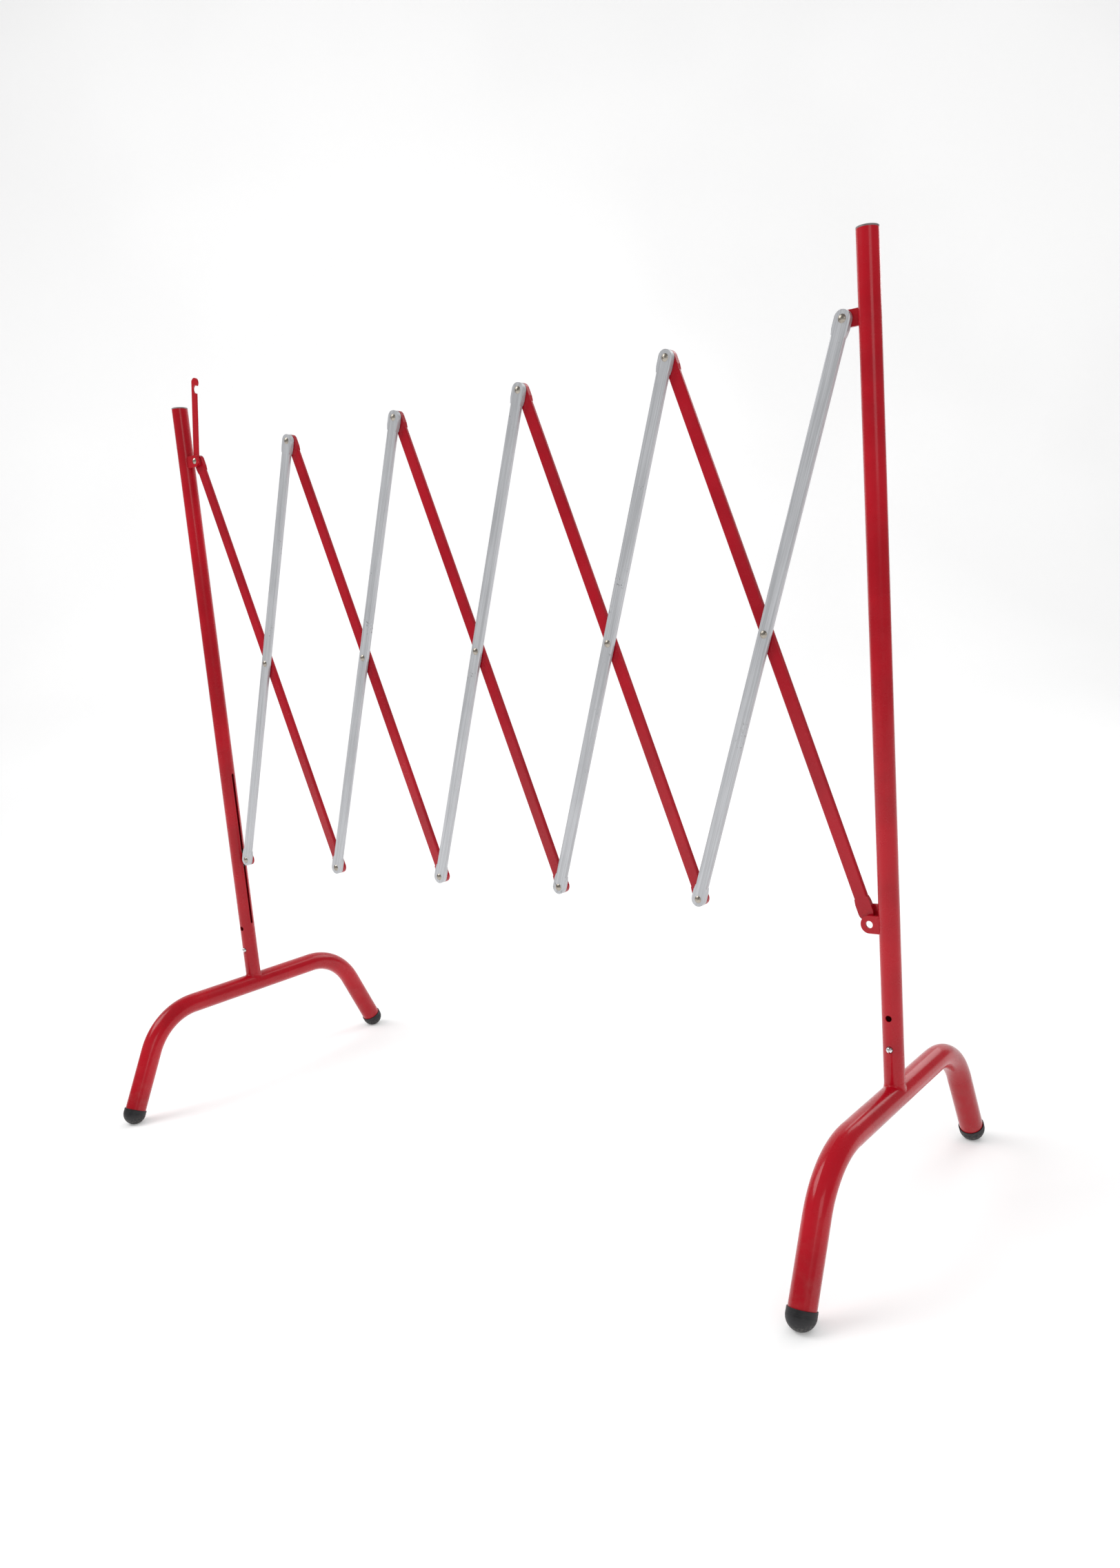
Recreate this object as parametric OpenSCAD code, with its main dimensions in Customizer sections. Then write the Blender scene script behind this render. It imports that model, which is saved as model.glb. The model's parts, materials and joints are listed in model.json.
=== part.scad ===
// Expanding scissor barrier: two round posts on arched feet, joined by five crossed pairs of bars.
// X runs along the barrier, Y from front to back, Z up. The origin is on the floor under the middle.

/* [Overall] */
// Height from the floor to the top of the posts
overall_h = 1000; // [850:10:1200]
// Distance between the pivots at the two ends of one bar
bar_pitch = 617; // [520:1:640]
// Angle of each bar from upright in the pose as modelled
open_angle = 19; // [10:0.5:30]
// Distance from a post's axis to the column of pivots beside it
pivot_offset = 26; // [22:0.5:36]
// Distance from the top of a post down to the upper pivots
top_drop = 76.5; // [60:0.5:90]

/* [Posts] */
// Outside diameter of the post tube
post_d = 22; // [20:0.5:28]
// Wall of the post tube
post_wall = 1.5; // [1.2:0.1:2]
// Thickness of the rim of the plug in the top of a post
plug_rim = 1.6; // [1:0.1:3]
// How deep the plug reaches into the post
plug_depth = 14; // [8:1:25]
// Wall of the plug's stem
plug_wall = 1.5; // [1:0.1:3]
// Height of the lower end of the guide slot above the floor
slot_bottom = 238; // [230:1:280]
// Height of the upper end of the guide slot above the floor
slot_top = 471; // [400:1:500]
// Clearance on each side of a tongue in its guide slot
slot_gap = 0.5; // [0.3:0.1:1]

/* [Bars] */
// Width of a bar along its length
bar_w = 15; // [12:0.5:18]
// Width of the rounded ends of a bar
bar_end_w = 17; // [15:0.5:20]
// Thickness of a bar
bar_t = 5.5; // [4:0.25:8]
// Radius of the long edges of a bar
bar_edge_r = 1.6; // [0.5:0.1:2]
// Length of the pressed flat at each end of a bar, from its pivot inwards
bar_flat = 10; // [8:0.5:20]
// Length over which a bar narrows from its pressed end to its own width
bar_taper = 6; // [3:0.5:12]
// Thickness of the spacer washer between two bars
washer_t = 0.6; // [0.4:0.1:1.5]
// Outside diameter of the spacer washer
washer_d = 13; // [10:0.5:14]
// Front face of the front layer of bars, measured from the posts' middle plane
front_y = -6.3; // [-8:0.1:-5]

/* [Rivets] */
// Diameter of the rivet shanks
rivet_d = 6; // [5:0.1:7]
// Diameter of the rivet heads
rivet_head_d = 8.4; // [8:0.1:11]
// Height of the domed rivet heads
rivet_head_h = 1.9; // [1.2:0.1:3]
// Radial clearance of a bar's bore on its rivet
rivet_gap = 0.06; // [0.02:0.01:0.1]
// Clearance between the faces of two pieces that turn on one rivet
face_gap = 0.05; // [0.02:0.01:0.15]

/* [Brackets] */
// Thickness of the sliders' tongues and of the right bracket
plate_t = 3; // [2:0.25:4]
// Thickness of the left bracket, the hook and the eye
thin_t = 2.5; // [2:0.1:2.6]
// Height of the brackets and tongues where they leave the post
bracket_h = 16; // [12:0.5:20]

/* [Hook and eye] */
// Distance from the hook's pivot to the middle of its notch
hook_reach = 97; // [70:1:110]
// Diameter of the hook's round end about its pivot
hook_root_d = 14; // [12:0.5:16]
// Width of the hook's bar
hook_w = 10; // [8:0.5:12]
// Width of the notch in the hook
notch_w = 11; // [8:0.5:12]
// Width of the metal left behind the notch
hook_neck = 2.8; // [2:0.1:3.5]
// Radius of the rounded head above the notch
hook_head_r = 6.5; // [5:0.5:8]
// Lean of the hook from upright, towards the bars
hook_lean = 9.5; // [0:0.5:20]
// Bore of the eye on the right post
eye_bore = 8; // [6:0.5:10]
// Outside diameter of the eye plate
eye_d = 19; // [16:0.5:22]
// Distance from the right post's axis to the middle of the eye
eye_offset = 20; // [20:0.5:26]
// Height of the middle of the eye above the floor
eye_z = 329; // [300:1:340]

/* [Sliders] */
// Radial clearance between a slider and the bore of its post
slider_gap = 0.3; // [0.2:0.05:0.5]
// Height of a slider
slider_h = 26; // [20:1:40]
// Height of a slider's tongue
tongue_h = 17; // [14:0.5:20]
// Distance from a post's axis to the inner end of a tongue
tongue_root = 2; // [0:0.5:4]

/* [Feet] */
// Outside diameter of the foot tube
foot_d = 28; // [25:0.5:34]
// Wall of the foot tube
foot_wall = 2; // [1.5:0.25:3]
// Height of the axis of the foot's crossbar above the floor
foot_axis_z = 143; // [120:1:170]
// Radius of the bends, measured at the tube's axis
bend_r = 88; // [70:1:110]
// How much the tube's outside shrinks, and its bore grows, in diameter where it is bent
bend_thin = 0.1; // [0.1:0.05:0.5]
// Half the length of the straight crossbar between the bends
cross_half = 112; // [95:1:130]
// Angle of the legs from upright
leg_splay = 26.5; // [20:0.5:35]
// Height above the floor where the leg tube ends
leg_end_z = 14; // [12:0.5:20]
// Thickness of the skirt of a foot cap
cap_wall = 1.2; // [0.8:0.1:2]
// Height of the skirt of a foot cap on the tube
cap_skirt = 6; // [4:0.5:10]
// Radial clearance between the spigot and the bore of its post
spigot_gap = 0.25; // [0.15:0.05:0.4]
// Wall of the spigot tube
spigot_wall = 2; // [1.5:0.1:2.5]
// Height of the spigot above the top of the crossbar
spigot_h = 64; // [55:1:70]

/* [Snap buttons] */
// Diameter of a snap button
button_d = 7; // [6:0.5:9]
// Height of the snap buttons above the floor
button_z = 197; // [180:1:205]
// Radial clearance of a snap button in its holes
button_gap = 0.35; // [0.3:0.05:0.5]
// How far a snap button stands out of the post
button_out = 3; // [2:0.5:4]
// Distance from the snap button up to the spare hole
spare_hole_up = 34; // [25:1:36]
// Diameter of the spare hole
spare_hole_d = 7; // [5:0.5:8]
// Clearance between the edges of the leaf spring and the spigot's bore
leaf_gap = 0.2; // [0.1:0.05:0.5]
// Thickness of the leaf spring behind a snap button
leaf_t = 0.8; // [0.5:0.1:1.2]
// Width of the leaf spring
leaf_w = 6; // [4:0.5:7]
// Height of the leaf spring's legs
leaf_h = 26; // [20:1:40]

/* [Hidden] */
CELLS = 5;
RED = "crimson";
GREY = "silver";
$fn = 48;

// The lattice: pivot columns, and the heights of its three rows of pivots
bar_step = bar_pitch * sin(open_angle);
bar_rise = bar_pitch * cos(open_angle);
span = CELLS * bar_step + 2 * pivot_offset;
left_x = -span / 2;
right_x = span / 2;
top_z = overall_h - top_drop;
low_z = top_z - bar_rise;
mid_z = (top_z + low_z) / 2;

// Posts and the feet below them
post_bottom = foot_axis_z + foot_d / 2;
post_bore = post_d - 2 * post_wall;
bend_angle = 90 - leg_splay;
bend_end_y = cross_half + bend_r * sin(bend_angle);
bend_end_z = foot_axis_z - bend_r * (1 - cos(bend_angle));
leg_len = (bend_end_z - leg_end_z) / cos(leg_splay);
leg_end_y = bend_end_y + leg_len * sin(leg_splay);
cap_d = foot_d + 2 * cap_wall;
spigot_d = post_bore - 2 * spigot_gap;
spigot_bore = spigot_d - 2 * spigot_wall;
slider_d = post_bore - 2 * slider_gap;

// The layers of plates and bars, each value the front face of its layer
front_back_y = front_y + bar_t;
rear_y = front_back_y + washer_t;
rear_back_y = rear_y + bar_t;
rear_tongue_y = rear_back_y + face_gap;
hook_y = front_back_y - face_gap - thin_t;
left_bracket_y = hook_y - face_gap - thin_t;

// Bores and the leaf spring
running_bore = rivet_d + 2 * rivet_gap;
leaf_r = sqrt(pow(spigot_bore / 2, 2) - pow(leaf_w / 2, 2)) - leaf_gap;
leaf_drop = 0.6 * leaf_h;

// Place of an upper, a middle and a lower pivot; the columns are counted from the left post
function upper_x(i) = left_x + pivot_offset + i * bar_step;
function middle_x(i) = left_x + pivot_offset + (i - 0.5) * bar_step;
function lower_x(i) = left_x + pivot_offset + (i - 1) * bar_step;

// Rod along +Y from the point given, its axis at x and z
module y_rod(x, y, z, d, len) {
    translate([x, y, z]) rotate([-90, 0, 0]) cylinder(d = d, h = len);
}

// Outline drawn in X and Z, made into a plate whose front face is at y
module y_plate(y, thickness) {
    translate([0, y + thickness, 0]) rotate([90, 0, 0]) linear_extrude(thickness) children();
}

// Post tube with its guide slot; side is +1 where the slot faces +X and -1 where it faces -X
module post(x, side, slot_y) {
    slot_w = plate_t + 2 * slot_gap;
    slot_x = side > 0 ? 0 : -post_d;
    color(RED) translate([x, 0, 0]) difference() {
        translate([0, 0, post_bottom]) cylinder(d = post_d, h = overall_h - plug_rim - post_bottom);
        translate([0, 0, post_bottom - 1]) cylinder(d = post_bore, h = overall_h);
        translate([slot_x, slot_y - slot_w / 2, slot_bottom + slot_w / 2]) {
            cube([post_d, slot_w, slot_top - slot_bottom - slot_w]);
        }
        for (z = [slot_bottom + slot_w / 2, slot_top - slot_w / 2]) {
            translate([slot_x, slot_y, z]) rotate([0, 90, 0]) cylinder(d = slot_w, h = post_d);
        }
        y_rod(0, -post_d, button_z, button_d + 2 * button_gap, post_d);
        y_rod(0, -post_d, button_z + spare_hole_up, spare_hole_d, post_d);
    }
}

module left_post() post(left_x, 1, rear_y + plate_t / 2);
module right_post() post(right_x, -1, rear_tongue_y + plate_t / 2);

// Plug pressed into the top of a post: a rim and a hollow stem
module post_plug(x) {
    color("dimgray") translate([x, 0, overall_h - plug_rim]) {
        cylinder(d = post_d, h = plug_rim);
        translate([0, 0, -plug_depth]) difference() {
            cylinder(d = post_bore, h = plug_depth);
            translate([0, 0, -1]) cylinder(d = post_bore - 2 * plug_wall, h = plug_depth);
        }
    }
}

module left_post_plug() post_plug(left_x);
module right_post_plug() post_plug(right_x);

// Round-ended plate from a post out to reach, welded to the tube and trimmed to its surface
module welded_lug(x, y, z, reach, side, thickness, height, bore) {
    difference() {
        translate([x, 0, z]) y_plate(y, thickness) difference() {
            union() {
                translate([side > 0 ? 0 : -reach, -height / 2]) square([reach, height]);
                translate([side * reach, 0]) circle(d = height);
            }
            translate([side * reach, 0]) circle(d = bore);
        }
        translate([x, 0, z - height]) cylinder(d = post_d, h = 2 * height);
    }
}

module left_top_bracket() {
    color(RED) welded_lug(left_x, left_bracket_y, top_z, pivot_offset, 1, thin_t, bracket_h, rivet_d);
}

module right_top_bracket() {
    color(RED) welded_lug(right_x, rear_y, top_z, pivot_offset, -1, plate_t, bracket_h, rivet_d);
}

module link_eye() {
    color(RED) welded_lug(right_x, left_bracket_y, eye_z, eye_offset, -1, thin_t, eye_d, eye_bore);
}

// Outline of the hook, upright, with its pivot at the origin and its notch open towards +X
module hook_outline() {
    back_x = -hook_w / 2;
    notch_x = back_x + hook_neck + notch_w / 2;
    mouth_h = 0.8 * notch_w;
    head_z = hook_reach + notch_w / 2 + hook_head_r / 2;
    difference() {
        union() {
            translate([back_x, 0]) square([hook_w, hook_reach]);
            circle(d = hook_root_d);
            translate([back_x, hook_reach]) square([hook_neck + 1, notch_w]);
            translate([back_x + hook_head_r, head_z]) circle(r = hook_head_r);
        }
        translate([notch_x, hook_reach]) circle(d = notch_w);
        translate([notch_x, hook_reach - notch_w / 2]) square([2 * hook_head_r, mouth_h]);
        circle(d = running_bore);
    }
}

module link_hook() {
    color(RED) translate([upper_x(0), 0, top_z]) rotate([0, hook_lean, 0]) {
        y_plate(hook_y, thin_t) hook_outline();
    }
}

// Outline of a bar, upright about its middle pivot: its ends are pressed a little wider
module bar_outline() {
    half = bar_pitch / 2;
    wide = half - bar_flat;
    narrow = wide - bar_taper;
    w = bar_w / 2;
    e = bar_end_w / 2;
    polygon([[-w, -narrow], [-e, -wide], [-e, -half], [e, -half], [e, -wide], [w, -narrow],
             [w, narrow], [e, wide], [e, half], [-e, half], [-e, wide], [-w, narrow]]);
    for (end = [-1, 1]) translate([0, end * half]) circle(r = e);
}

// Cross-section of the rolled bar, with its long edges rounded
module bar_section() {
    square([bar_w, bar_t - 2 * bar_edge_r], center = true);
    square([bar_w - 2 * bar_edge_r, bar_t], center = true);
    for (sx = [-1, 1], sy = [-1, 1]) {
        translate([sx * (bar_w / 2 - bar_edge_r), sy * (bar_t / 2 - bar_edge_r)]) circle(r = bar_edge_r);
    }
}

// One bar with its three bores, leaning by lean degrees towards +X at the top, its front face at y
module bar(x, y, lean, colour) {
    half = bar_pitch / 2;
    rolled = half - bar_flat - bar_taper;
    block = bar_flat + bar_taper + bar_end_w / 2;
    color(colour) translate([x, y, mid_z]) rotate([0, lean, 0]) difference() {
        intersection() {
            y_plate(0, bar_t) bar_outline();
            union() {
                translate([0, bar_t / 2, -rolled]) linear_extrude(2 * rolled) bar_section();
                for (low = [rolled, -rolled - block]) {
                    translate([-bar_end_w / 2, 0, low]) cube([bar_end_w, bar_t, block]);
                }
            }
        }
        for (z = [-half, 0, half]) y_rod(0, -1, z, running_bore, bar_t + 2);
    }
}

module front_bar(i) bar(middle_x(i), front_y, open_angle, GREY);
module rear_bar(i) bar(middle_x(i), rear_y, -open_angle, RED);

// Rivet head: a spherical cap that stands on z = 0
module rivet_head() {
    ball_r = (pow(rivet_head_d / 2, 2) + pow(rivet_head_h, 2)) / (2 * rivet_head_h);
    intersection() {
        translate([0, 0, rivet_head_h - ball_r]) sphere(r = ball_r);
        cylinder(d = rivet_head_d + 1, h = rivet_head_h + 1);
    }
}

// Rivet along Y through everything from y0 to y1, with a head at each end or a flush front
module rivet(x, z, y0, y1, flush_front = false) {
    y_rod(x, y0, z, rivet_d, y1 - y0);
    if (!flush_front) translate([x, y0, z]) rotate([90, 0, 0]) rivet_head();
    translate([x, y1, z]) rotate([-90, 0, 0]) rivet_head();
}

// Spacer washer that lies on the front of the rear layer
module washer(x, z) {
    thickness = washer_t - face_gap;
    translate([x, 0, z]) y_plate(rear_y - thickness, thickness) difference() {
        circle(d = washer_d);
        circle(d = running_bore);
    }
}

// The rivets that rear bar i carries: above, where it crosses, and below
module bar_rivets(i) {
    y0 = front_y - face_gap;
    color(GREY) {
        if (i > 1) rivet(upper_x(i - 1), top_z, y0, rear_back_y);
        rivet(middle_x(i), mid_z, y0, rear_back_y);
        if (i < CELLS) rivet(lower_x(i + 1), low_z, y0, rear_back_y);
    }
}

module bar_washers(i) {
    color(GREY) {
        washer(upper_x(i - 1), top_z);
        washer(middle_x(i), mid_z);
        if (i < CELLS) washer(lower_x(i + 1), low_z);
    }
}

module left_top_rivet() {
    color(GREY) rivet(upper_x(0), top_z, left_bracket_y, rear_back_y + face_gap);
}

module right_top_rivet() {
    color(GREY) rivet(upper_x(CELLS), top_z, front_y - face_gap, rear_y + plate_t);
}

module left_slide_rivet() {
    color(GREY) rivet(lower_x(1), low_z, front_y - face_gap, rear_y + plate_t);
}

module right_slide_rivet() {
    color(RED) rivet(lower_x(CELLS + 1), low_z, rear_y, rear_tongue_y + plate_t, flush_front = true);
}

module right_top_washer() {
    color(GREY) washer(upper_x(CELLS), top_z);
}

module left_slide_washer() {
    color(GREY) washer(lower_x(1), low_z);
}

// Slider that runs in a post's bore, with a saw cut that holds its tongue
module slider(x, side, tongue_y) {
    cut_x = side > 0 ? tongue_root : -tongue_root - post_d;
    color("black") translate([x, 0, low_z]) difference() {
        translate([0, 0, -slider_h / 2]) cylinder(d = slider_d, h = slider_h);
        translate([cut_x, tongue_y, -tongue_h / 2]) cube([post_d, plate_t, tongue_h]);
    }
}

// Tongue from inside a slider out through the slot, round-ended about the pivot
module slider_tongue(x, side, tongue_y) {
    color(RED) translate([x, 0, low_z]) y_plate(tongue_y, plate_t) difference() {
        union() {
            translate([side > 0 ? tongue_root : -pivot_offset, -tongue_h / 2]) {
                square([pivot_offset - tongue_root, tongue_h]);
            }
            translate([side * pivot_offset, 0]) circle(d = tongue_h);
        }
        translate([side * pivot_offset, 0]) circle(d = rivet_d);
    }
}

module left_slider() slider(left_x, 1, rear_y);
module right_slider() slider(right_x, -1, rear_tongue_y);
module left_slider_tongue() slider_tongue(left_x, 1, rear_y);
module right_slider_tongue() slider_tongue(right_x, -1, rear_tongue_y);

// Rod that follows the rear half of a foot's centre line, thinner by thin in its bend, its leg longer by extra
module half_foot(d, thin, extra) {
    rotate([-90, 0, 0]) cylinder(d = d, h = cross_half);
    translate([0, cross_half, -bend_r]) {
        rotate([0, -90, 0]) rotate_extrude(angle = bend_angle, $fn = 96) {
            translate([bend_r, 0]) circle(d = d - thin, $fn = 48);
        }
        rotate([-bend_angle, 0, 0]) translate([0, 0, bend_r]) rotate([-90, 0, 0]) {
            cylinder(d = d, h = leg_len + extra);
        }
    }
}

module foot_rod(d, thin, extra) {
    half_foot(d, thin, extra);
    mirror([0, 1, 0]) half_foot(d, thin, extra);
}

// Foot tube: a straight crossbar, two bends and two splayed legs
module foot_tube(x) {
    color(RED) translate([x, 0, foot_axis_z]) difference() {
        foot_rod(foot_d, bend_thin, 0);
        foot_rod(foot_d - 2 * foot_wall, -bend_thin, 1);
    }
}

module left_foot_tube() foot_tube(left_x);
module right_foot_tube() foot_tube(right_x);

// Spigot welded on top of the crossbar, over which the post slides
module spigot(x) {
    color(GREY) translate([x, 0, foot_axis_z]) difference() {
        cylinder(d = spigot_d, h = foot_d / 2 + spigot_h);
        translate([0, 0, -1]) cylinder(d = spigot_bore, h = foot_d + spigot_h);
        y_rod(0, -foot_d, 0, foot_d, 2 * foot_d);
        y_rod(0, -post_d, button_z - foot_axis_z, button_d + 2 * button_gap, post_d);
    }
}

module left_spigot() spigot(left_x);
module right_spigot() spigot(right_x);

// Rubber cap on a leg: a skirt round the tube and a dome with a small flat where it stands
module foot_cap(x, side) {
    color("black") intersection() {
        translate([x, side * leg_end_y, leg_end_z]) rotate([180 + side * leg_splay, 0, 0]) {
            difference() {
                translate([0, 0, -cap_skirt]) cylinder(d = cap_d, h = cap_skirt);
                translate([0, 0, -cap_skirt - 1]) cylinder(d = foot_d, h = cap_skirt + 1);
            }
            intersection() {
                sphere(d = cap_d);
                cylinder(d = cap_d + 2, h = cap_d);
            }
        }
        translate([x - cap_d, side > 0 ? 0 : -2 * leg_end_y, 0]) {
            cube([2 * cap_d, 2 * leg_end_y, foot_axis_z]);
        }
    }
}

module left_front_foot_cap() foot_cap(left_x, -1);
module left_rear_foot_cap() foot_cap(left_x, 1);
module right_front_foot_cap() foot_cap(right_x, -1);
module right_rear_foot_cap() foot_cap(right_x, 1);

// Snap button: a pin with a domed end, from the leaf spring out through the spigot and the post
module snap_button(x) {
    dome_y = -(post_d / 2 + button_out - button_d / 2);
    color(GREY) translate([x, 0, button_z]) {
        translate([0, dome_y, 0]) sphere(d = button_d);
        y_rod(0, dome_y, 0, button_d, -leaf_r - dome_y);
    }
}

module left_snap_button() snap_button(left_x);
module right_snap_button() snap_button(right_x);

// Leaf spring folded to a U, its two legs standing on the fold
module button_spring(x) {
    color(GREY) translate([x - leaf_w / 2, 0, button_z - leaf_drop]) rotate([90, 0, 90])
    linear_extrude(leaf_w) {
        difference() {
            circle(r = leaf_r);
            circle(r = leaf_r - leaf_t);
            translate([-2 * leaf_r, 0]) square([4 * leaf_r, 2 * leaf_r]);
        }
        for (y = [-leaf_r, leaf_r - leaf_t]) translate([y, 0]) square([leaf_t, leaf_h]);
    }
}

module left_button_spring() button_spring(left_x);
module right_button_spring() button_spring(right_x);

left_post();
right_post();
left_post_plug();
right_post_plug();
left_top_bracket();
right_top_bracket();
link_hook();
link_eye();
left_foot_tube();
right_foot_tube();
left_spigot();
right_spigot();
left_front_foot_cap();
left_rear_foot_cap();
right_front_foot_cap();
right_rear_foot_cap();
left_snap_button();
right_snap_button();
left_button_spring();
right_button_spring();
left_slider();
right_slider();
left_slider_tongue();
right_slider_tongue();
left_top_rivet();
right_top_rivet();
left_slide_rivet();
right_slide_rivet();
right_top_washer();
left_slide_washer();
for (i = [1:CELLS]) {
    front_bar(i);
    rear_bar(i);
    bar_rivets(i);
    bar_washers(i);
}
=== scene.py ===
"""Looks of an expanding scissor barrier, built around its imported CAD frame."""

import json
import logging
import math
from dataclasses import dataclass
from enum import Enum

import bpy
import numpy as np
from mathutils import Matrix, Vector

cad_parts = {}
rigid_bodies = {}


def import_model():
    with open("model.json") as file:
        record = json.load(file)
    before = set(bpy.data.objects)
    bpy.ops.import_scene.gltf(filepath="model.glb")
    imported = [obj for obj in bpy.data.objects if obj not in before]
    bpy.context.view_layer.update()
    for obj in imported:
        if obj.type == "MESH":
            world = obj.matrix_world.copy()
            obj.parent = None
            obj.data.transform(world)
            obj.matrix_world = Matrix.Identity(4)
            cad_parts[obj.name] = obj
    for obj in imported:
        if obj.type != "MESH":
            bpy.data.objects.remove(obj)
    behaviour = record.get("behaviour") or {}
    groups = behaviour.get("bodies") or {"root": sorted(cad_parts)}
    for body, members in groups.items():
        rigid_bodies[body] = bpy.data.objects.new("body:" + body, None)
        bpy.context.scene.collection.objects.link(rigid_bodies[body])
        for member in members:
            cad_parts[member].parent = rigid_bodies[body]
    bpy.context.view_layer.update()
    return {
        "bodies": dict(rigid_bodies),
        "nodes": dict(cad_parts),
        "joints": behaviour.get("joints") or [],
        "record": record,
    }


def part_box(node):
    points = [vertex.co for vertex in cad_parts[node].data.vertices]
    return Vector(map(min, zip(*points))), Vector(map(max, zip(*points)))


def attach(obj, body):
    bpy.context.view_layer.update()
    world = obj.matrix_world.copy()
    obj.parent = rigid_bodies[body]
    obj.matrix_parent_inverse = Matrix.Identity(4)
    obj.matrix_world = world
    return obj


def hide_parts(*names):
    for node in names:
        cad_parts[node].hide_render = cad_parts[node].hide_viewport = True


LOG = logging.getLogger("barrier")
MM = 0.001
SENSOR = 36.0  # height of the camera's sensor, in mm
BAR_END = 17.0 * MM  # width of a bar's pressed end
FULL_TURN = np.linspace(0.0, 2.0 * math.pi, 97)[:-1]


class Side(Enum):
    """The two ends of the barrier, with the direction from each post towards the bars."""

    LEFT = ("left", 1.0)
    RIGHT = ("right", -1.0)

    @property
    def label(self) -> str:
        """Prefix of the names of this end's nodes and bodies."""
        return self.value[0]

    @property
    def inward(self) -> float:
        """+1 where the bars lie towards +X, -1 where they lie towards -X."""
        return self.value[1]


# ---------------------------------------------------------------------------
# Materials
# ---------------------------------------------------------------------------


class ShaderGraph:
    """Thin builder over a material's node tree."""

    def __init__(self, name: str) -> None:
        """Starts an empty material that holds a Principled shader.

        Args:
            name: Name of the new material.
        """
        self.material = bpy.data.materials.new(name)
        self.material.use_nodes = True
        self.tree = self.material.node_tree
        self.tree.nodes.clear()
        self.output = self.tree.nodes.new("ShaderNodeOutputMaterial")
        self.shader = self.tree.nodes.new("ShaderNodeBsdfPrincipled")
        self.tree.links.new(self.shader.outputs["BSDF"], self.output.inputs["Surface"])
        coordinates = self.tree.nodes.new("ShaderNodeTexCoord")
        self.place = coordinates.outputs["Object"]

    def link(self, source, target) -> None:
        """Joins an output socket to an input socket."""
        self.tree.links.new(source, target)

    def put(self, socket, value) -> None:
        """Sets a socket from a constant, or links it to an output."""
        if isinstance(value, bpy.types.NodeSocket):
            self.link(value, socket)
        else:
            socket.default_value = value

    def mapping(self, turn=(0.0, 0.0, 0.0), scale=(1.0, 1.0, 1.0)):
        """Object coordinates turned, then scaled, as an output socket."""
        turned = self.tree.nodes.new("ShaderNodeMapping")
        turned.inputs["Rotation"].default_value = turn
        self.link(self.place, turned.inputs["Vector"])
        scaled = self.tree.nodes.new("ShaderNodeMapping")
        scaled.inputs["Scale"].default_value = scale
        self.link(turned.outputs["Vector"], scaled.inputs["Vector"])
        return scaled.outputs["Vector"]

    def noise(self, scale: float, detail: float = 3.0, where=None, rough: float = 0.55):
        """Noise value, from about 0.3 to 0.7, as an output socket."""
        node = self.tree.nodes.new("ShaderNodeTexNoise")
        node.inputs["Scale"].default_value = scale
        node.inputs["Detail"].default_value = detail
        node.inputs["Roughness"].default_value = rough
        self.link(where if where is not None else self.place, node.inputs["Vector"])
        return node.outputs["Fac"]

    def voronoi(self, scale: float):
        """Voronoi texture node, for its Distance or its Color output."""
        node = self.tree.nodes.new("ShaderNodeTexVoronoi")
        node.feature = "F1"
        node.inputs["Scale"].default_value = scale
        self.link(self.place, node.inputs["Vector"])
        return node

    def remap(self, value, low, high, to_low=0.0, to_high=1.0):
        """Smooth clamped remap of a value, as an output socket."""
        node = self.tree.nodes.new("ShaderNodeMapRange")
        node.interpolation_type = "SMOOTHSTEP"
        self.put(node.inputs["Value"], value)
        node.inputs["From Min"].default_value = low
        node.inputs["From Max"].default_value = high
        node.inputs["To Min"].default_value = to_low
        node.inputs["To Max"].default_value = to_high
        return node.outputs["Result"]

    def math(self, operation: str, first, second=0.0):
        """Result of a math node, as an output socket."""
        node = self.tree.nodes.new("ShaderNodeMath")
        node.operation = operation
        self.put(node.inputs[0], first)
        self.put(node.inputs[1], second)
        return node.outputs[0]

    def mix(self, share, first, second):
        """Mix of two colours by share, as an output socket."""
        node = self.tree.nodes.new("ShaderNodeMix")
        node.data_type = "RGBA"
        self.put(node.inputs["Factor"], share)
        self.put(node.inputs["A"], first)
        self.put(node.inputs["B"], second)
        return node.outputs["Result"]

    def height(self):
        """Height above the floor of the point shaded, with the part at rest, as an output socket."""
        node = self.tree.nodes.new("ShaderNodeSeparateXYZ")
        self.link(self.place, node.inputs["Vector"])
        return node.outputs["Z"]

    def bump(self, layers) -> None:
        """Chains bump layers into the shader's normal.

        Args:
            layers: Pairs of a height socket and its depth in metres.
        """
        normal = None
        for height, depth in layers:
            node = self.tree.nodes.new("ShaderNodeBump")
            node.inputs["Strength"].default_value = 1.0
            node.inputs["Distance"].default_value = depth
            self.link(height, node.inputs["Height"])
            if normal is not None:
                self.link(normal, node.inputs["Normal"])
            normal = node.outputs["Normal"]
        self.link(normal, self.shader.inputs["Normal"])

    def set(self, **values) -> None:
        """Sets shader inputs by name, with underscores for spaces."""
        for name, value in values.items():
            self.put(self.shader.inputs[name.replace("_", " ")], value)


def rgba(colour, gain: float = 1.0):
    """Colour of three linear values as four, scaled by gain."""
    return (colour[0] * gain, colour[1] * gain, colour[2] * gain, 1.0)


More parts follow.
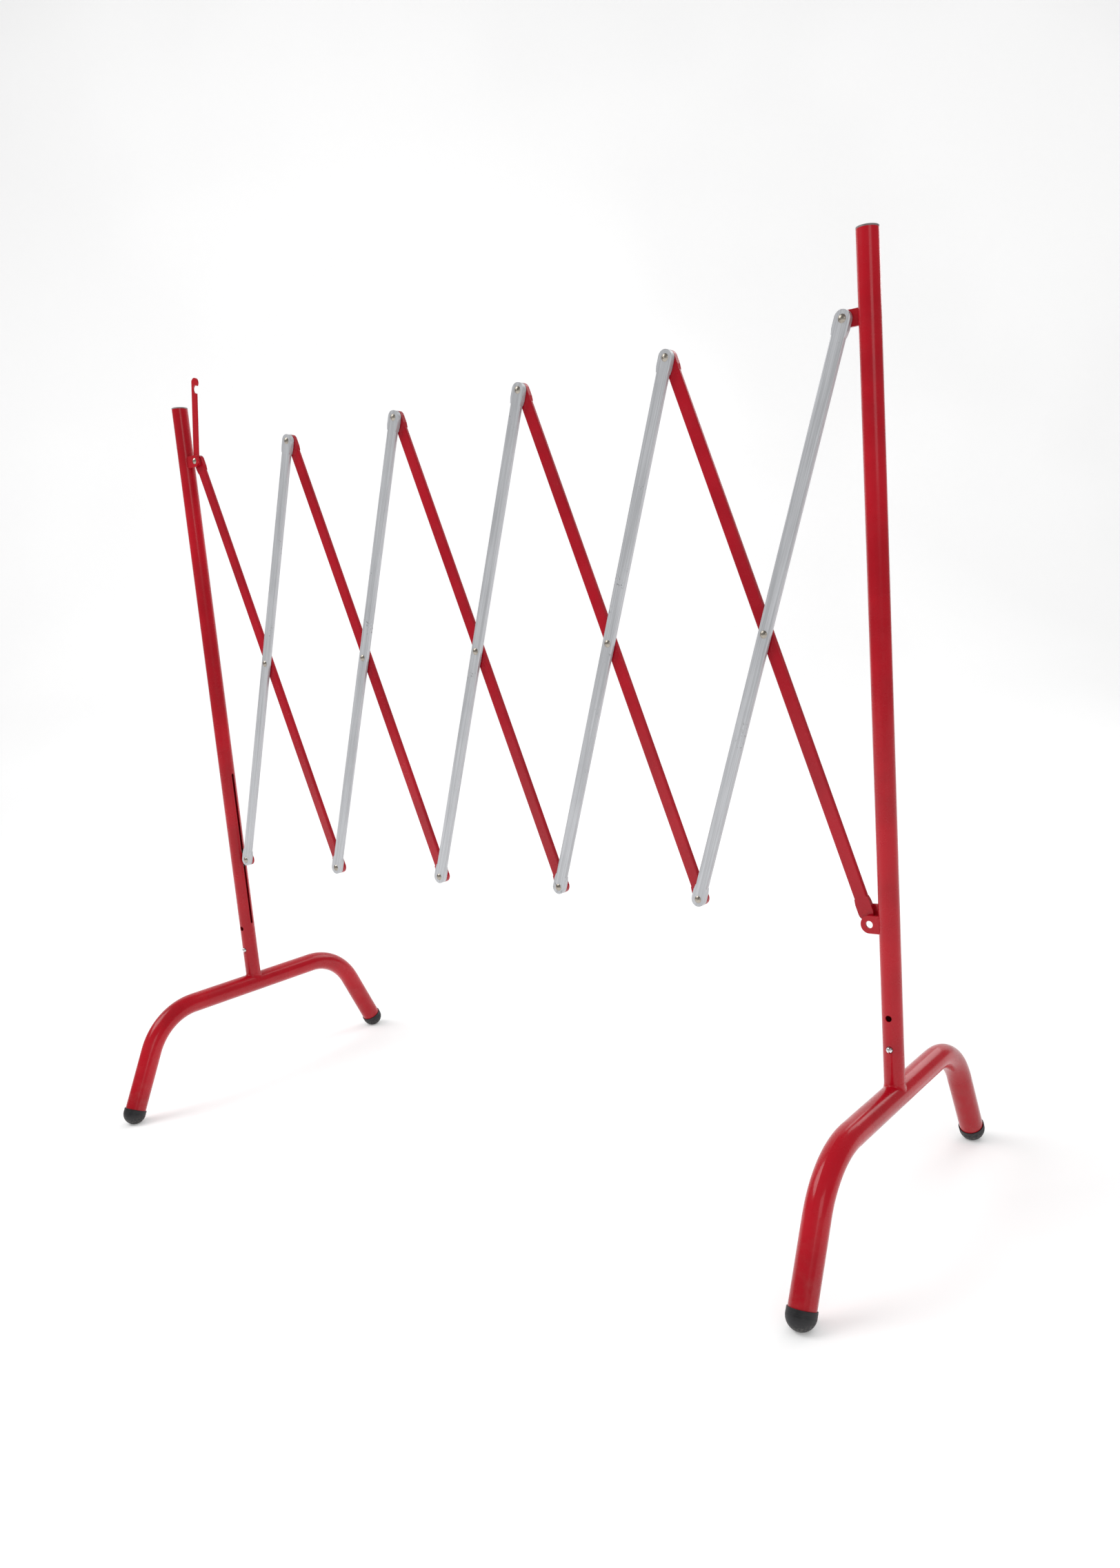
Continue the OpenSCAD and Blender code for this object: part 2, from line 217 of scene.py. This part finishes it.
@dataclass(frozen=True)
class GlossPaint:
    """Sprayed gloss enamel on steel tube: orange peel, uneven film, chips that show grey primer."""

    name: str
    colour: tuple = (0.42, 0.002, 0.011)
    primer: tuple = (0.16, 0.15, 0.15)
    roughness: float = 0.24
    wear: float = 0.72
    lean: float = 0.0

    def build(self) -> bpy.types.Material:
        """Makes the material."""
        g = ShaderGraph(self.name)
        film = g.noise(9.0, 4.0)
        tint = g.mix(g.remap(film, 0.35, 0.65), rgba(self.colour, 0.86), rgba(self.colour, 1.10))
        streaks = g.noise(1.0, 3.0, g.mapping((0.0, self.lean, 0.0), (420.0, 420.0, 14.0)))
        tint = g.mix(g.remap(streaks, 0.5, 0.8, 0.0, 0.10), tint, rgba(self.colour, 1.25))
        specks = g.noise(520.0, 2.0)
        patches = g.noise(31.0, 5.0, rough=0.7)
        chips = g.math("MULTIPLY", g.remap(specks, 0.60, 0.64), g.remap(patches, self.wear, self.wear + 0.06))
        base = g.mix(chips, tint, rgba(self.primer))
        dust = g.math("MULTIPLY", g.remap(g.height(), 0.16, 0.0), g.remap(g.noise(70.0, 5.0), 0.42, 0.72))
        base = g.mix(g.math("MULTIPLY", dust, 0.09), base, (0.30, 0.22, 0.19, 1.0))
        peel = g.noise(430.0, 2.0)
        fine = g.noise(1400.0, 2.0)
        scratches = g.noise(1.0, 2.0, g.mapping((0.3, self.lean, 0.2), (2600.0, 2600.0, 55.0)))
        rough = g.remap(patches, 0.3, 0.75, self.roughness - 0.04, self.roughness + 0.10)
        rough = g.math("ADD", rough, g.math("MULTIPLY", chips, 0.35))
        rough = g.math("ADD", rough, g.remap(scratches, 0.66, 0.74, 0.0, 0.12))
        g.set(
            Base_Color=base,
            Roughness=rough,
            Specular_IOR_Level=0.22,
            Coat_Weight=0.30,
            Coat_Roughness=0.10,
            Coat_IOR=1.5,
        )
        g.bump([(peel, 0.00006), (fine, 0.000012), (g.math("MULTIPLY", chips, -1.0), 0.00012)])
        return g.material


@dataclass(frozen=True)
class SilverPaint:
    """Satin silver-grey enamel on rolled bar: long metallic grain, faint clouding, sparkle and scuffs."""

    name: str
    colour: tuple = (0.52, 0.53, 0.55)
    lean: float = 0.0
    roughness: float = 0.34

    def build(self) -> bpy.types.Material:
        """Makes the material."""
        g = ShaderGraph(self.name)
        grain = g.noise(1.0, 4.0, g.mapping((0.0, self.lean, 0.0), (900.0, 900.0, 10.0)))
        cloud = g.noise(14.0, 4.0)
        flake = g.voronoi(2600.0)
        base = g.mix(g.remap(grain, 0.35, 0.65), rgba(self.colour, 0.86), rgba(self.colour, 1.12))
        base = g.mix(g.remap(cloud, 0.45, 0.75, 0.0, 0.25), base, rgba((0.33, 0.34, 0.36)))
        sparkle = g.remap(flake.outputs["Distance"], 0.0, 0.35, 0.22, 0.0)
        base = g.mix(sparkle, base, (0.85, 0.87, 0.9, 1.0))
        fine, broad = g.noise(380.0, 3.0), g.noise(26.0, 4.0)
        scuff = g.math("MULTIPLY", g.remap(fine, 0.58, 0.64), g.remap(broad, 0.60, 0.70))
        base = g.mix(g.math("MULTIPLY", scuff, 0.8), base, (0.10, 0.10, 0.105, 1.0))
        rough = g.remap(grain, 0.3, 0.7, self.roughness - 0.05, self.roughness + 0.10)
        rough = g.math("ADD", rough, g.math("MULTIPLY", scuff, 0.25))
        g.set(Base_Color=base, Metallic=0.30, Roughness=rough, Coat_Weight=0.15, Coat_Roughness=0.25)
        g.bump([(grain, 0.00002), (g.noise(700.0, 2.0), 0.00002)])
        return g.material


@dataclass(frozen=True)
class BareSteel:
    """Pressed or plated steel: fine scratches, spangle and a little dulling in patches."""

    name: str
    colour: tuple
    roughness: float
    spangle: float = 0.0
    dull: tuple = (0.16, 0.14, 0.12)

    def build(self) -> bpy.types.Material:
        """Makes the material."""
        g = ShaderGraph(self.name)
        patch = g.noise(160.0, 5.0)
        fine = g.noise(1.0, 3.0, g.mapping((0.4, 0.7, 0.2), (2400.0, 2400.0, 300.0)))
        base = g.mix(g.remap(patch, 0.45, 0.75, 0.0, 0.55), rgba(self.colour), rgba(self.dull))
        if self.spangle > 0.0:
            crystals = g.voronoi(260.0)
            base = g.mix(self.spangle, base, crystals.outputs["Color"])
        rough = g.remap(fine, 0.35, 0.7, self.roughness - 0.06, self.roughness + 0.12)
        g.set(Base_Color=base, Metallic=1.0, Roughness=rough)
        g.bump([(fine, 0.00001), (g.noise(650.0, 3.0), 0.00003)])
        return g.material


@dataclass(frozen=True)
class Moulded:
    """Moulded rubber or plastic: fine matt texture, light dust, smoother rubbed spots."""

    name: str
    colour: tuple
    roughness: float
    dust: float = 0.0

    def build(self) -> bpy.types.Material:
        """Makes the material."""
        g = ShaderGraph(self.name)
        cloud = g.noise(120.0, 4.0)
        base = g.mix(g.remap(cloud, 0.4, 0.7), rgba(self.colour, 0.8), rgba(self.colour, 1.3))
        if self.dust > 0.0:
            low = g.remap(g.height(), 0.016, 0.0)
            settled = g.math("MULTIPLY", low, g.remap(g.noise(420.0, 4.0), 0.4, 0.7))
            base = g.mix(g.math("MULTIPLY", settled, self.dust), base, (0.20, 0.18, 0.16, 1.0))
        rough = g.remap(cloud, 0.35, 0.7, self.roughness - 0.1, self.roughness + 0.08)
        g.set(Base_Color=base, Roughness=rough, Specular_IOR_Level=0.45)
        g.bump([(g.noise(1500.0, 2.0), 0.00003), (g.noise(260.0, 3.0), 0.00005)])
        return g.material


class Palette:
    """Every finish of the barrier, made once."""

    def __init__(self, lean: float) -> None:
        """Makes the materials.

        Args:
            lean: Angle of the bars from upright, in radians.
        """
        self.tube = GlossPaint("tube_enamel").build()
        self.plate = GlossPaint("plate_enamel", roughness=0.27, wear=0.64).build()
        bar_red = (0.38, 0.002, 0.012)
        self.red_bar = GlossPaint("bar_enamel", colour=bar_red, lean=lean, wear=0.68).build()
        self.silver_bar = SilverPaint("bar_silver", lean=-lean).build()
        self.rivet = BareSteel("rivet_steel", (0.46, 0.42, 0.36), 0.34).build()
        self.zinc = BareSteel("zinc_plate", (0.62, 0.63, 0.64), 0.36, spangle=0.06).build()
        self.button = BareSteel("button_plate", (0.78, 0.78, 0.79), 0.17, dull=(0.4, 0.4, 0.4)).build()
        self.spring = BareSteel("spring_steel", (0.30, 0.32, 0.36), 0.30).build()
        self.rubber = Moulded("cap_rubber", (0.012, 0.012, 0.014), 0.52, dust=0.5).build()
        self.plug = Moulded("plug_plastic", (0.20, 0.17, 0.17), 0.48).build()
        self.nylon = Moulded("slider_nylon", (0.02, 0.02, 0.02), 0.42).build()

    def for_slot(self, slot: str, node: str) -> bpy.types.Material:
        """Finish for a CAD node, by its material slot in the record.

        Args:
            slot: The record's material slot.
            node: The CAD node's name.

        Returns:
            The material to show it in.
        """
        if slot == "red_paint":
            if node.startswith("rear_bar"):
                return self.red_bar
            return self.tube if node.endswith(("post", "foot_tube")) else self.plate
        return {
            "silver_paint": self.silver_bar,
            "rivet_steel": self.rivet,
            "zinc_steel": self.zinc,
            "foot_rubber": self.rubber,
            "plug_plastic": self.plug,
            "slider_plastic": self.nylon,
            "button_chrome": self.button,
            "spring_steel": self.spring,
        }[slot]


# ---------------------------------------------------------------------------
# Mesh surfaces
# ---------------------------------------------------------------------------


def grid_mesh(name: str, points: np.ndarray, wrap_u: bool, wrap_v: bool) -> bpy.types.Object:
    """Mesh from a grid of points, smooth shaded.

    Args:
        name: Name of the new object.
        points: Array of shape (u, v, 3), in metres in the shared frame.
        wrap_u: Whether the last row joins the first.
        wrap_v: Whether the last column joins the first.

    Returns:
        The object, linked to the scene.
    """
    nu, nv = points.shape[:2]
    rows = np.arange(nu if wrap_u else nu - 1)
    cols = np.arange(nv if wrap_v else nv - 1)
    i, j = (a.ravel() for a in np.meshgrid(rows, cols, indexing="ij"))
    i2, j2 = (i + 1) % nu, (j + 1) % nv
    quads = np.stack([i * nv + j, i2 * nv + j, i2 * nv + j2, i * nv + j2], 1)
    mesh = bpy.data.meshes.new(name)
    mesh.from_pydata(points.reshape(-1, 3).tolist(), [], quads.tolist())
    mesh.polygons.foreach_set("use_smooth", np.ones(len(mesh.polygons), dtype=bool))
    mesh.update()
    obj = bpy.data.objects.new(name, mesh)
    bpy.context.scene.collection.objects.link(obj)
    return obj


def bead_points(path: np.ndarray, out: np.ndarray, radius: float, pitch: float, seed: int) -> np.ndarray:
    """Grid of a rippled weld bead along a path, its back half sunk in the joint.

    Args:
        path: Points along the root of the joint, shape (n, 3).
        out: Unit vectors away from the joint at each point, shape (n, 3).
        radius: Radius of the bead at its full width.
        pitch: Distance between ripples.
        seed: Seed of the small unevenness.

    Returns:
        Array of shape (n, 16, 3).
    """
    chance = np.random.default_rng(seed)
    step = np.linalg.norm(np.diff(path, axis=0), axis=1)
    along = np.concatenate([[0.0], np.cumsum(step)])
    total = along[-1]
    ends = np.clip(np.minimum(along, total - along) / radius, 0.0, 1.0)
    taper = np.sqrt(1.0 - (1.0 - ends) ** 2)
    ripple = 1.0 + 0.10 * np.abs(np.sin(math.pi * along / pitch))
    ripple += 0.03 * chance.standard_normal(len(path))
    tangent = np.gradient(path, axis=0)
    tangent /= np.linalg.norm(tangent, axis=1)[:, None]
    across = np.cross(tangent, out)
    angles = np.linspace(0.0, 2.0 * math.pi, 16, endpoint=False)
    r = (radius * np.maximum(taper, 0.02) * ripple)[:, None, None]
    cosine, sine = np.cos(angles)[None, :, None], np.sin(angles)[None, :, None]
    return path[:, None, :] + r * (out[:, None, :] * cosine + across[:, None, :] * sine)


# ---------------------------------------------------------------------------
# Sub-assemblies
# ---------------------------------------------------------------------------


@dataclass
class PlateWeld:
    """The two weld beads that hold a flat plate to a post, one along each face of the plate."""

    plate: str
    side: Side
    material: bpy.types.Material
    radius: float = 1.0 * MM
    pitch: float = 1.7 * MM
    inset: float = 1.2 * MM

    def build(self) -> None:
        """Makes both beads and hangs them on the plate's body."""
        low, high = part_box(self.plate)
        post_low, post_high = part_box(f"{self.side.label}_post")
        axis_x = (post_low.x + post_high.x) / 2
        tube = (post_high.y - post_low.y) / 2
        for n, y in enumerate((low.y, high.y)):
            x = axis_x + self.side.inward * math.sqrt(tube**2 - y**2)
            z = np.linspace(low.z + self.inset, high.z - self.inset, 60)
            path = np.stack([np.full_like(z, x), np.full_like(z, y), z], 1)
            away = Vector((self.side.inward * 0.7, -1.0 if n == 0 else 1.0, 0.0)).normalized()
            out = np.tile(np.array(away), (len(z), 1))
            points = bead_points(path, out, self.radius, self.pitch, 11 + n)
            bead = grid_mesh(f"{self.plate}_weld_{n + 1}", points, False, True)
            bead.data.materials.append(self.material)
            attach(bead, f"{self.side.label}_frame")


@dataclass
class PostSaddle:
    """Enamel fillet where a post stands on the round crossbar of its foot."""

    side: Side
    material: bpy.types.Material
    flare: float = 1.6 * MM
    skin: float = 0.02 * MM
    sunk: float = 0.1 * MM
    tuck: float = 0.2 * MM

    def build(self) -> None:
        """Makes the fillet and hangs it on the post's body."""
        label = self.side.label
        post_low, post_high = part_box(f"{label}_post")
        foot_low, foot_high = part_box(f"{label}_foot_tube")
        x0 = (post_low.x + post_high.x) / 2
        r_post = (post_high.x - post_low.x) / 2
        r_foot = (foot_high.x - foot_low.x) / 2
        axis_z = foot_high.z - r_foot
        top = post_low.z + self.flare
        rows = []
        for share in np.linspace(0.0, 1.0, 14):
            flare = self.flare * (1.0 - math.sqrt(max(0.0, 1.0 - (1.0 - share) ** 2)))
            r = r_post + flare + self.skin
            x = r * np.cos(FULL_TURN)
            y = r * np.sin(FULL_TURN)
            foot = axis_z + np.sqrt(np.maximum(r_foot**2 - x**2, 0.0)) - self.sunk
            rows.append(np.stack([x0 + x, y, foot + (top - foot) * share], 1))
        inner = rows[-1].copy()
        inner[:, 0] = x0 + (r_post - self.tuck) * np.cos(FULL_TURN)
        inner[:, 1] = (r_post - self.tuck) * np.sin(FULL_TURN)
        rows.append(inner)
        saddle = grid_mesh(f"{label}_post_saddle", np.array(rows), False, True)
        saddle.data.materials.append(self.material)
        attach(saddle, f"{label}_frame")


@dataclass
class RubberCap:
    """Rubber foot cap: rolled lip, rippled skirt and a dome with fine moulding ribs and a flat under it."""

    side: Side
    end: str
    material: bpy.types.Material
    skirt: float = 6.0 * MM

    def build(self) -> None:
        """Makes the cap in place of its CAD node."""
        label = self.side.label
        node = f"{label}_{self.end}_foot_cap"
        low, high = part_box(node)
        tube_low, tube_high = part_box(f"{label}_foot_tube")
        radius = (tube_high.x - tube_low.x) / 2
        centre, lean = self._leg_end(tube_low.z, radius)
        axis = np.array([0.0, self._direction * math.sin(lean), -math.cos(lean)])
        across = np.array([1.0, 0.0, 0.0])
        other = np.cross(axis, across)
        profile = np.array(self._profile(radius, (high.x - low.x) / 2))
        r = profile[:, 0, None, None]
        h = profile[:, 1, None, None]
        ring = np.cos(FULL_TURN)[None, :, None] * across + np.sin(FULL_TURN)[None, :, None] * other
        points = np.array([(low.x + high.x) / 2, centre[0], centre[1]]) + r * ring + h * axis
        points[:, :, 2] = np.maximum(points[:, :, 2], low.z)
        points[:, :, 1] = np.clip(points[:, :, 1], low.y, high.y)
        cap = grid_mesh(f"{node}_moulded", points, False, True)
        cap.data.materials.append(self.material)
        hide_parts(node)
        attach(cap, f"{label}_frame")

    @property
    def _direction(self) -> float:
        """-1 for the front leg, +1 for the rear leg."""
        return -1.0 if self.end == "front" else 1.0

    def _profile(self, radius: float, cap_r: float) -> list:
        """Outline of the cap from inside its lip to the tip of its dome.

        Args:
            radius: Radius of the leg.
            cap_r: Radius of the cap.

        Returns:
            Pairs of (radius, distance past the leg's cut end), in metres.
        """
        wall = cap_r - radius
        profile = [(radius + 0.15 * MM, -self.skirt + 0.9 * MM)]
        for a in np.linspace(-math.pi, 0.0, 9)[1:]:
            lip = radius + 0.55 * wall + 0.45 * wall * math.cos(a)
            profile.append((lip, -self.skirt + 0.6 * MM + 0.55 * MM * math.sin(a)))
        for z in np.linspace(-self.skirt + 1.4 * MM, -0.4 * MM, 7):
            profile.append((cap_r - 0.18 * MM * (0.5 + 0.5 * math.cos(z * 2600.0)), z))
        for a in np.linspace(0.0, math.pi / 2, 30):
            rib = 1.0 - 0.004 * (0.5 + 0.5 * math.cos(a * 30.0))
            profile.append((cap_r * math.cos(a) * rib, cap_r * math.sin(a) * rib))
        return profile

    def _leg_end(self, floor: float, radius: float) -> tuple:
        """Centre of the leg's cut end and its lean, from the foot tube's vertices near that end.

        Args:
            floor: Height of the foot tube's lowest point.
            radius: Radius of the leg.

        Returns:
            ((y, z) of the centre, lean from upright in radians).
        """
        tube = bpy.data.objects[f"{self.side.label}_foot_tube"]
        co = np.zeros(len(tube.data.vertices) * 3, np.float32)
        tube.data.vertices.foreach_get("co", co)
        co = co.reshape(-1, 3)
        far_out = co[:, 1] * self._direction > 180.0 * MM
        yz = co[far_out & (co[:, 2] < floor + 18.0 * MM)][:, 1:].astype(float)
        lowest = yz[yz[:, 1].argmin()]
        outer = yz[(yz[:, 0] * self._direction).argmax()]
        run = (outer - lowest) * np.array([self._direction, 1.0])
        lean = math.atan2(run[1], run[0])
        centre = lowest + radius * np.array([self._direction * math.cos(lean), math.sin(lean)])
        return centre, lean


@dataclass(frozen=True)
class Shot:
    """The camera: place, angles in degrees, and the lens and its shifts as shares of the picture's height."""

    place: tuple = (1.015846, -1.138407, 0.658703)
    yaw: float = 36.023
    pitch: float = -10.414
    roll: float = -4.179
    focal: float = 0.771643
    shift_x: float = -0.035631
    shift_y: float = 0.036955

    def build(self) -> None:
        """Makes the scene's camera."""
        yaw, pitch, roll = (math.radians(a) for a in (self.yaw, self.pitch, self.roll))
        ahead = Vector((-math.sin(yaw) * math.cos(pitch), math.cos(yaw) * math.cos(pitch), math.sin(pitch)))
        right = Vector((math.cos(yaw), math.sin(yaw), 0.0))
        up = right.cross(ahead)
        across = math.cos(roll) * right + math.sin(roll) * up
        above = -math.sin(roll) * right + math.cos(roll) * up
        data = bpy.data.cameras.new("shot")
        data.sensor_fit = "VERTICAL"
        data.sensor_height = SENSOR
        data.lens = SENSOR * self.focal
        data.shift_x = self.shift_x
        data.shift_y = self.shift_y
        data.clip_start = 0.01
        camera = bpy.data.objects.new("shot", data)
        turn = Matrix((across, above, -ahead)).transposed().to_4x4()
        camera.matrix_world = Matrix.Translation(self.place) @ turn
        bpy.context.scene.collection.objects.link(camera)
        bpy.context.scene.camera = camera


@dataclass(frozen=True)
class Studio:
    """White paper floor, three soft lights and a pale world that is darker in reflections."""

    world: float = 0.66
    mirrored_world: float = 0.22
    paper_glow: float = 0.17

    def build(self) -> None:
        """Makes the floor, the lights and the world."""
        self._floor()
        self._light("key", (-2.2, -1.6, 3.4), (0.0, 0.0, 0.4), 2.2, 62.0)
        self._light("fill", (3.2, -2.6, 1.9), (0.0, 0.0, 0.5), 1.6, 14.0)
        self._light("back", (0.6, 3.2, 2.6), (0.0, 0.0, 0.6), 2.0, 24.0)
        world = bpy.data.worlds.new("studio")
        world.use_nodes = True
        tree = world.node_tree
        background = tree.nodes["Background"]
        background.inputs["Color"].default_value = (1.0, 1.0, 1.0, 1.0)
        path = tree.nodes.new("ShaderNodeLightPath")
        dim = tree.nodes.new("ShaderNodeMapRange")
        dim.inputs["To Min"].default_value = self.world
        dim.inputs["To Max"].default_value = self.mirrored_world
        tree.links.new(path.outputs["Is Glossy Ray"], dim.inputs["Value"])
        tree.links.new(dim.outputs["Result"], background.inputs["Strength"])
        bpy.context.scene.world = world
        view = bpy.context.scene.view_settings
        view.view_transform = "Standard"
        view.look = "None"
        view.exposure = 0.0

    def _floor(self) -> None:
        """A wide floor that sweeps up behind the barrier."""
        u = np.linspace(-6.0, 6.0, 25)
        bend = np.linspace(0.1, math.pi / 2, 14)
        v = np.concatenate([np.linspace(-5.0, 3.0, 17), 3.0 + 1.5 * np.sin(bend), [4.5]])
        z = np.concatenate([np.zeros(17), 1.5 * (1.0 - np.cos(bend)), [7.0]])
        points = np.stack([a.ravel() for a in np.meshgrid(u, v, indexing="ij")] + [np.tile(z, len(u))], 1)
        points = points.reshape(len(u), len(v), 3)
        floor = grid_mesh("studio_floor", points, False, False)
        floor.matrix_world = Matrix.Rotation(math.radians(36.0), 4, "Z")  # square to the camera
        g = ShaderGraph("studio_paper")
        shade = g.remap(g.noise(0.7, 2.0), 0.4, 0.65)
        g.set(
            Base_Color=g.mix(shade, rgba((0.90, 0.90, 0.90)), rgba((0.94, 0.94, 0.94))),
            Roughness=0.9,
            Emission_Color=rgba((1.0, 1.0, 1.0)),
            Emission_Strength=self.paper_glow,
        )
        floor.data.materials.append(g.material)

    def _light(self, name: str, place: tuple, target: tuple, size: float, power: float) -> None:
        """One soft square light.

        Args:
            name: Name of the light.
            place: Where it hangs, in metres.
            target: The point it faces.
            size: Length of its side.
            power: Watts.
        """
        data = bpy.data.lights.new(name, "AREA")
        data.size = size
        data.energy = power
        light = bpy.data.objects.new(name, data)
        direction = Vector(target) - Vector(place)
        light.rotation_mode = "QUATERNION"
        light.rotation_quaternion = direction.to_track_quat("-Z", "Y")
        light.location = place
        bpy.context.scene.collection.objects.link(light)


class Barrier:
    """The whole barrier: finishes on the CAD nodes and the detailed pieces beside them."""

    def __init__(self, frame: dict) -> None:
        """Keeps the frame and makes the finishes.
        """
        self.frame = frame
        self.palette = Palette(self._lean())

    @staticmethod
    def _lean() -> float:
        """Angle of the bars from upright, in radians, from the box of one bar."""
        low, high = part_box("front_bar_1")
        return math.atan2(high.x - low.x - BAR_END, high.z - low.z - BAR_END)

    def build(self) -> None:
        """Dresses every node and makes every piece."""
        slots = {s["node"]: s["material_slot"] for s in self.frame["record"]["subparts"]}
        for name, obj in self.frame["nodes"].items():
            obj.data.materials.clear()
            obj.data.materials.append(self.palette.for_slot(slots[name], name))
        for plate, side in (
            ("left_top_bracket", Side.LEFT),
            ("right_top_bracket", Side.RIGHT),
            ("link_eye", Side.RIGHT),
        ):
            PlateWeld(plate, side, self.palette.plate).build()
        for side in Side:
            PostSaddle(side, self.palette.tube).build()
            for end in ("front", "rear"):
                RubberCap(side, end, self.palette.rubber).build()
        LOG.info("dressed %d nodes", len(slots))


def main() -> None:
    """Builds the scene."""
    logging.basicConfig(level=logging.INFO)
    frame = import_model()
    Shot().build()
    Studio().build()
    Barrier(frame).build()


if __name__ == "__main__":
    main()
